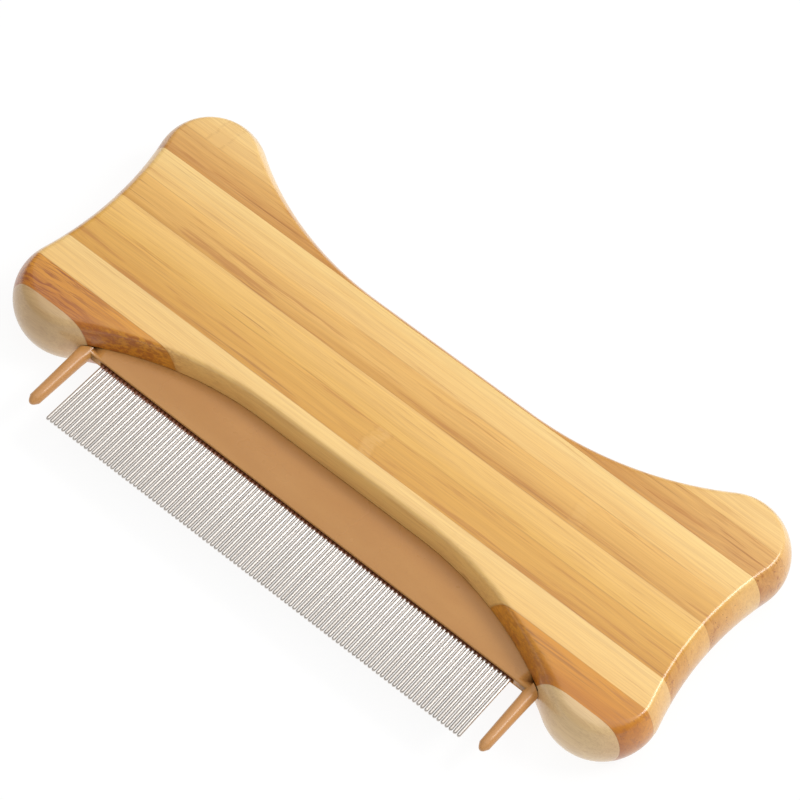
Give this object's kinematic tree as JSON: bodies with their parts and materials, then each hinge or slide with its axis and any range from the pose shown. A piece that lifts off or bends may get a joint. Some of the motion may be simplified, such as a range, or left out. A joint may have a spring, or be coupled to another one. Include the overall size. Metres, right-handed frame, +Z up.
{
  "type": "fine-tooth grooming comb",
  "caption": "Fine-tooth pet comb: a bone-shaped laminated bamboo handle with a moulded carrier slotted into its side, holding a row of steel needle teeth between guard pins.",
  "frame": {"origin": "centre of the handle's flat underside, half way along its length and half way across it", "axes": "+X along the handle, +Y from the teeth towards the handle's back, so the teeth point to -Y, +Z up through the handle's thickness"},
  "size_m": [0.13, 0.0654, 0.012],
  "materials": {
    "bamboo_light": "light bamboo, clear satin lacquer",
    "bamboo_dark": "caramelised bamboo, clear satin lacquer",
    "carrier_plastic": "tan brown moulded plastic, fine satin texture",
    "tooth_steel": "bright drawn needle wire, rounded points"
  },
  "bodies": {
    "root": {"bamboo_strip_1_left": "bamboo_light", "bamboo_strip_1_right": "bamboo_light", "bamboo_strip_2_left": "bamboo_dark", "bamboo_strip_2_right": "bamboo_dark", "bamboo_strip_3": "bamboo_light", "bamboo_strip_4": "bamboo_dark", "bamboo_strip_5": "bamboo_light", "bamboo_strip_6": "bamboo_dark", "bamboo_strip_7": "bamboo_light", "bamboo_strip_8": "bamboo_dark", "bamboo_strip_9_left": "bamboo_light", "bamboo_strip_9_right": "bamboo_light", "bamboo_strip_10_left": "bamboo_dark", "bamboo_strip_10_right": "bamboo_dark", "comb_carrier": "carrier_plastic", "tooth_bank_01": "tooth_steel", "tooth_bank_02": "tooth_steel", "tooth_bank_03": "tooth_steel", "tooth_bank_04": "tooth_steel", "tooth_bank_05": "tooth_steel", "tooth_bank_06": "tooth_steel", "tooth_bank_07": "tooth_steel", "tooth_bank_08": "tooth_steel", "tooth_bank_09": "tooth_steel", "tooth_bank_10": "tooth_steel", "tooth_bank_11": "tooth_steel", "tooth_bank_12": "tooth_steel"}
  },
  "joints": []
}
